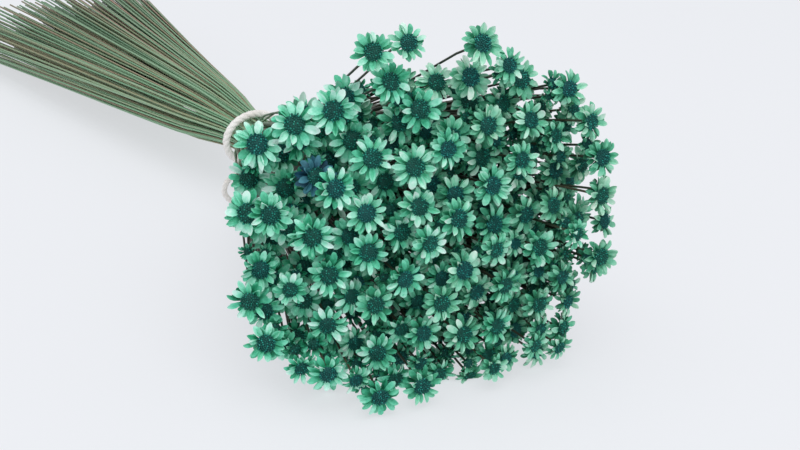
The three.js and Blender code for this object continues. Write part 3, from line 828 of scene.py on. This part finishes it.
def round_tube(tree, size, path, radius):
    """A tube along a path, closed at its ends."""
    ring = add(tree, "GeometryNodeCurvePrimitiveCircle",
               {"Resolution": size["Sides"], "Radius": radius}, mode="RADIUS")
    return add(tree, "GeometryNodeCurveToMesh", {"Curve": path, "Profile Curve": ring, "Fill Caps": True})


def stem_tree():
    """Round stems that follow their points in smooth bends."""
    tree, size, made = new_tree("Wiry stems", stem_radius=0.43 * MM, sides=5, point_spacing=13 * MM)
    return end_tree(tree, size, made, round_tube(tree, size, even_path(tree, size), size["Stem Radius"]))


def cord_tree():
    """Plies wound round a cord's path, each a round yarn."""
    tree, size, made = new_tree(
        "Twisted cord", plies=3, ply_radius=0.8 * MM, ply_offset=0.75 * MM, lay_length=8 * MM, sides=10,
        point_spacing=0.6 * MM)
    plies = add(tree, "GeometryNodeDuplicateElements",
                {"Geometry": even_path(tree, size), "Amount": size["Plies"]}, domain="SPLINE")
    length = add(tree, "GeometryNodeSplineParameter").outputs["Length"]
    normal = add(tree, "GeometryNodeInputNormal")
    tangent = add(tree, "GeometryNodeInputTangent")
    other = add(tree, "ShaderNodeVectorMath", {0: tangent, 1: normal}, operation="CROSS_PRODUCT")
    share = add(tree, "ShaderNodeMath", {0: plies.outputs["Duplicate Index"], 1: size["Plies"]},
                operation="DIVIDE")
    turns = add(tree, "ShaderNodeMath", {0: length, 1: size["Lay Length"]}, operation="DIVIDE")
    turns = add(tree, "ShaderNodeMath", {0: turns, 1: share}, operation="ADD")
    angle = add(tree, "ShaderNodeMath", {0: turns, 1: 2 * math.pi}, operation="MULTIPLY")
    cosine = add(tree, "ShaderNodeMath", {0: angle}, operation="COSINE")
    sine = add(tree, "ShaderNodeMath", {0: angle}, operation="SINE")
    along_normal = add(tree, "ShaderNodeVectorMath", {0: normal, "Scale": cosine}, operation="SCALE")
    along_other = add(tree, "ShaderNodeVectorMath", {0: other, "Scale": sine}, operation="SCALE")
    offset = add(tree, "ShaderNodeVectorMath", {0: along_normal, 1: along_other}, operation="ADD")
    offset = add(tree, "ShaderNodeVectorMath", {0: offset, "Scale": size["Ply Offset"]}, operation="SCALE")
    wound = add(tree, "GeometryNodeSetPosition", {"Geometry": plies.outputs["Geometry"], "Offset": offset})
    return end_tree(tree, size, made, round_tube(tree, size, wound, size["Ply Radius"]))


# Settings, pieces and stage
class BunchSettings(bpy.types.PropertyGroup):
    """Sizes and colour of the flowers and stems that a user may change."""

    bracts_fewest: bpy.props.IntProperty(name="Fewest bracts", description="In one ring of a head", default=8)
    bracts_most: bpy.props.IntProperty(name="Most bracts", description="In one ring of a head", default=10)
    buds: bpy.props.IntProperty(name="Florets", description="Floret buds on a head's disc", default=64)
    stem_radius: bpy.props.FloatProperty(
        name="Stem radius", description="Half the thickness of a wiry stem", default=0.43 * MM,
        unit="LENGTH")
    closing: bpy.props.FloatProperty(
        name="Closing", description="Most that a head's bracts rise or fall from the usual", default=0.16,
        subtype="ANGLE")
    dye: bpy.props.FloatVectorProperty(
        name="Dye", description="Colour of the dyed bracts half way along", default=linear("64d2ac"),
        min=0, max=1, subtype="COLOR")


class CordSettings(bpy.types.PropertyGroup):
    """Sizes and colour of the tie that a user may change."""

    cord: bpy.props.FloatProperty(
        name="Tie cord", description="Thickness of the cord round the waist", default=TIE_CORD * MM,
        unit="LENGTH")
    loop: bpy.props.FloatProperty(
        name="Loop cord", description="Thickness of the loose loop", default=LOOP_CORD * MM, unit="LENGTH")
    yarn: bpy.props.FloatVectorProperty(
        name="Yarn", description="Colour of the cord's yarn", default=linear("f3eeea"), min=0, max=1,
        subtype="COLOR")


def piece_groups(middles):
    """The groups of stems in each piece: neighbours round the heads' axis."""
    order = sorted(range(GROUPS), key=lambda group: math.atan2(middles[group][1], middles[group][0]))
    return [order[start:start + GROUPS_PER_PIECE] for start in range(0, GROUPS, GROUPS_PER_PIECE)]


def stem_points(head):
    """The points that a stem runs through, from under its head to its cut end."""
    front, rod, own, behind, end = head.route
    bottom = head.place - head.facing * STEM_TOP * head.radius
    neck = head.place - head.facing * NECK_BELOW - head.direction * NECK_BACK
    bow = FAN_UPWARD * BOW * max(0, head.up - BOW_FROM)
    ahead = rod + Vector((0, -ROD_HALF_LENGTH, 0)) + own * STEM_SPREAD
    back = rod + Vector((0, ROD_HALF_LENGTH, 0)) + own * STEM_SPREAD
    parting = front + own * PARTING_SPREAD - bow * BOW_AT_PARTING
    leaving = behind + own * PARTING_SPREAD
    return [bottom, neck, parting.lerp(head.place, TOWARD_HEAD) - bow, parting,
            parting.lerp(ahead, TOWARD_WAIST), ahead, back, back.lerp(leaving, HALFWAY), leaving,
            leaving.lerp(end, HALFWAY), end]


def head_points(name, members, settings, half_open):
    """A mesh of one point for each head, with what the trees read from it."""
    def clamped(value):
        return min(1, max(0, value))

    counts = settings.bracts_most - settings.bracts_fewest + 1
    turned = []
    for head in members:
        first, second = across_axis(head.facing)
        turned.append(first * math.cos(head.turn) + second * math.sin(head.turn))
    right = [head.side / FAN_SIDE for head in members]
    high = [head.up / FAN_UP for head in members]
    return mesh_of(
        name + "_heads", [(head.place + BUNCH_SHIFT) * MM for head in members],
        facing=[head.facing for head in members], first=turned,
        radius=[head.radius * MM for head in members],
        bracts=[settings.bracts_fewest - FEWER_YOUNG_BRACTS * half_open + math.floor(counts * head.chances[0])
                for head in members],
        buds=[settings.buds // (YOUNG_BUDS_SHARE if half_open else 1)] * len(members),
        closing=[YOUNG_CLOSING * half_open + settings.closing * (2 * head.chances[1] - 1)
                 for head in members],
        # Paler toward the upper left as painted light; young heads darker as painted shade
        tone=[TONE - YOUNG_PAINTED_SHADE * half_open + TONE_SPREAD * head.chances[2] + TONE_RISE_PAINTED_LIGHT * (up - side)
              for head, side, up in zip(members, right, high)],
        ink=[clamped(INK_SPREAD * head.chances[3] - INK_LIMIT) for head in members],
        fade=[clamped(FADE + FADE_RISE * side + FADE_SPREAD * (head.chances[4] - 0.5))
              for head, side in zip(members, right)],
        inky=[float(math.dist((head.side, head.up), INKY_PLACE) < INKY_NEAR) for head in members])


def flower_piece(name, opened, young, trees, shapes, settings, number):
    """One piece: the bracts, floret discs, cups and stems of its flowers."""
    bracts, florets, cups, stems = trees
    bract_shapes, bud_shapes, cup_shapes, disc_shapes = shapes
    bract, floret, straw = (
        material_of(each) for each in ("dyed_papery_bract", "dyed_floret_buds", "dyed_straw_stem"))
    points, edges, tints, bare = [], [], [], []
    for head in opened + young:
        route = [(point + BUNCH_SHIFT) * MM for point in stem_points(head)]
        edges += [(len(points) + step, len(points) + step + 1) for step in range(len(route) - 1)]
        points += route
        tints += [TINT + TINT_SPREAD * head.chances[2] + TINT_RISE * at / len(route)
                  for at in range(len(route))]
        bare += SHADE_AND_DRYNESS
    lines = mesh_of(name + "_lines", points, edges=edges, tint=tints, bare=bare)
    meshes = [grown(name, lines, stems, stem_radius=settings.stem_radius, material=straw)]
    for half_open, members in enumerate((opened, young)):
        heads = head_points(name, members, settings, half_open)
        seed = SEED_STEP * number + YOUNG_SEED * half_open
        meshes += [
            grown(name, heads, bracts, rings=3 - half_open, seed=7 + seed, shapes=bract_shapes,
                  material=bract),
            grown(name, heads, florets, seed=11 + seed, shapes=bud_shapes, material=floret),
            grown(name, heads, cups, shapes=cup_shapes, material=bract),
            grown(name, heads, cups, shapes=disc_shapes, material=floret),
        ]
    piece = joined(name, meshes)
    settle(piece.data)
    return piece


def settle(mesh):
    """Presses what would sink into the surface flat against it."""
    places = np.zeros(3 * len(mesh.vertices), dtype=np.float32)
    mesh.vertices.foreach_get("co", places)
    rise = places[2::3]
    low = rise < LYING * MM
    rise[low] = LYING * MM * np.exp(rise[low] / (LYING * MM) - 1)
    mesh.vertices.foreach_set("co", places)
    mesh.update()


class GLIXIA_OT_flowers(bpy.types.Operator):
    """Make the flowers, head and stem, in one piece for every few groups of stems"""

    bl_idname = "glixia.flowers"
    bl_label = "Flowers and Stems"

    def execute(self, context):
        opened, young, middles = lay_out_flowers()
        bracts = [bract_shape(f"bract_{number}", *form) for number, form in enumerate(BRACT_FORMS)]
        shapes = (
            shape_collection("bract_shapes", bracts),
            shape_collection("bud_shapes", [lathed("bud", BUD_PROFILE, BUD_SIDES, BUD_ALONG)]),
            shape_collection("cup_shapes", [lathed("cup", CUP_PROFILE, CUP_SIDES)]),
            shape_collection("disc_shapes", [lathed("disc", DISC_PROFILE, DISC_SIDES)]))
        trees = bract_tree(), floret_tree(), cup_tree(), stem_tree()
        draw = seeded_draw(SEED + 2)
        for head in opened + young:
            head.chances = [draw() for _ in range(5)]
        for number, groups in enumerate(piece_groups(middles), 1):
            members = [[head for head in heads if head.group in groups] for heads in (opened, young)]
            piece = flower_piece(
                f"flowers_{number:02d}", *members, trees, shapes, context.scene.glixia_bunch, number)
            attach(piece, "root")
            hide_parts(*(f"flower_stems_{group + 1:02d}" for group in groups))
        return {"FINISHED"}


def smooth_route(points, steps):
    """Points on the smooth curve through a row of points, in a number of steps from each to the next."""
    row = [points[0] * 2 - points[1], *points, points[-1] * 2 - points[-2]]
    route = []
    for first, start, end, last in zip(row, row[1:], row[2:], row[3:]):
        for step in range(steps):
            share = step / steps
            route.append(0.5 * (2 * start + (end - first) * share
                                + (2 * first - 5 * start + 4 * end - last) * share ** 2
                                + (3 * start - 3 * end + last - first) * share ** 3))
    return [*route, points[-1]]


def cord_mesh(name, route, diameter, closed):
    """The mesh of a twisted cord along a route in metres, and its length."""
    lay_share, ply_share, offset_share = 2.6, 0.36, 0.15  # of its diameter
    count = len(route)
    edges = [(step, (step + 1) % count) for step in range(count if closed else count - 1)]
    source = mesh_of(name, route, edges=edges)
    length = sum((route[one] - route[two]).length for one, two in edges)
    lay = length / max(1, round(length / (lay_share * diameter)))
    mesh = grown(
        name, source, cord_tree(), ply_radius=ply_share * diameter, ply_offset=offset_share * diameter,
        lay_length=lay, material=material_of("soft_cotton_cord"))
    return mesh, length


class GLIXIA_OT_tie(bpy.types.Operator):
    """Tie the waist with a soft cord that has a loose loop hanging below it"""

    bl_idname = "glixia.tie"
    bl_label = "Tie Cord"

    def execute(self, context):
        settings = context.scene.glixia_cord
        ring_steps, loop_steps = 48, 5
        middle = (WAIST + BUNCH_SHIFT) * MM
        ring = []
        for step in range(ring_steps):
            angle = 2 * math.pi * step / ring_steps
            ring.append(middle + Vector((TIE_SIDE * math.cos(angle), 0, TIE_UP * math.sin(angle))) * MM)
        mesh, _ = cord_mesh("tie_ring", ring, settings.cord, True)
        tie = joined("tie_ring", [mesh])
        loop = smooth_route([middle + Vector(point) * MM for point in LOOP_ROUTE], loop_steps)
        mesh, length = cord_mesh("tie_loop", loop, settings.loop, False)
        hanging = joined("tie_loop", [mesh])
        for piece in (tie, hanging):
            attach(piece, "root")
            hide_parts("tie_cord")
        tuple(loop[0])
        return {"FINISHED"}


def photo_camera():
    """A camera that sees the bunch as the picture does."""
    back = Vector((
        math.sin(CAMERA_AZIMUTH) * math.cos(CAMERA_ELEVATION),
        -math.cos(CAMERA_AZIMUTH) * math.cos(CAMERA_ELEVATION),
        math.sin(CAMERA_ELEVATION),
    ))
    waist = (WAIST + BUNCH_SHIFT) * MM
    # Turned until the waist shows at its pixel, with the horizon kept level
    forward = -back
    for _ in range(CAMERA_TURNS):
        right = forward.cross(Vector((0, 0, 1))).normalized()
        up = right.cross(forward)
        seen = -back * CAMERA_DISTANCE
        depth = seen.dot(forward)
        x = PICTURE[0] / 2 + CAMERA_FOCAL_PIXELS * seen.dot(right) / depth
        y = PICTURE[1] / 2 - CAMERA_FOCAL_PIXELS * seen.dot(up) / depth
        forward = (forward + right * (x - WAIST_PIXEL[0]) / CAMERA_FOCAL_PIXELS
                   - up * (y - WAIST_PIXEL[1]) / CAMERA_FOCAL_PIXELS).normalized()
    right = forward.cross(Vector((0, 0, 1))).normalized()
    up = right.cross(forward)
    data = bpy.data.cameras.new("camera")
    data.sensor_width = CAMERA_SENSOR
    data.lens = CAMERA_FOCAL_PIXELS / PICTURE[0] * CAMERA_SENSOR
    data.clip_start = 0.01
    camera = bpy.data.objects.new("camera", data)
    turn = Matrix((right, up, -forward)).transposed().to_4x4()
    camera.matrix_world = Matrix.Translation(waist + back * CAMERA_DISTANCE) @ turn
    bpy.context.scene.collection.objects.link(camera)
    return camera


class GLIXIA_OT_stage(bpy.types.Operator):
    """Set the plain floor, the soft lights and the camera"""

    bl_idname = "glixia.stage"
    bl_label = "Stage"

    def execute(self, context):
        corners = [(FLOOR_HALF_SIDE * x, FLOOR_HALF_SIDE * y, 0)
                   for x, y in ((-1, -1), (1, -1), (1, 1), (-1, 1))]
        floor = bpy.data.objects.new("floor", mesh_of("floor", corners, [(0, 1, 2, 3)]))
        context.scene.collection.objects.link(floor)
        floor.data.materials.append(material_of("plain_paper_sweep"))
        context.scene.view_settings.view_transform = "Standard"
        world = bpy.data.worlds.new("soft_room")
        context.scene.world = world
        world.use_nodes = True
        room = world.node_tree.nodes["Background"]
        room.inputs["Color"].default_value = (*linear(ROOM_COLOUR), 1)
        room.inputs["Strength"].default_value = ROOM_STRENGTH
        for name, place, size, watts in LIGHTS:
            light = bpy.data.lights.new(name, "AREA")
            light.size = size
            light.energy = watts
            lamp = bpy.data.objects.new(name, light)
            lamp.location = place
            lamp.rotation_euler = (LIT_PLACE - Vector(place)).to_track_quat("-Z", "Y").to_euler()
            context.scene.collection.objects.link(lamp)
        context.scene.camera = photo_camera()
        return {"FINISHED"}


class GLIXIA_PT_panel(bpy.types.Panel):
    """The bunch's pieces, in the order they are made"""

    bl_idname = "GLIXIA_PT_panel"
    bl_label = "Dried Glixia Bunch"
    bl_space_type = "VIEW_3D"
    bl_region_type = "UI"
    bl_category = "Glixia"

    def draw(self, context):
        for settings in (context.scene.glixia_bunch, context.scene.glixia_cord):
            for label in settings.__annotations__:
                self.layout.prop(settings, label)
        for operator in OPERATORS:
            self.layout.operator(operator.bl_idname)


OPERATORS = (GLIXIA_OT_flowers, GLIXIA_OT_tie, GLIXIA_OT_stage)
CLASSES = (BunchSettings, CordSettings, *OPERATORS, GLIXIA_PT_panel)


def register():
    """Adds the classes and the scene's settings."""
    for each in CLASSES:
        bpy.utils.register_class(each)
    bpy.types.Scene.glixia_bunch = bpy.props.PointerProperty(type=BunchSettings)
    bpy.types.Scene.glixia_cord = bpy.props.PointerProperty(type=CordSettings)


def unregister():
    """Takes them away again."""
    del bpy.types.Scene.glixia_cord, bpy.types.Scene.glixia_bunch
    for each in reversed(CLASSES):
        bpy.utils.unregister_class(each)


def main():
    """Makes every piece in order."""
    register()
    bpy.ops.glixia.flowers()
    bpy.ops.glixia.tie()
    bpy.ops.glixia.stage()


if __name__ == "__main__":
    main()
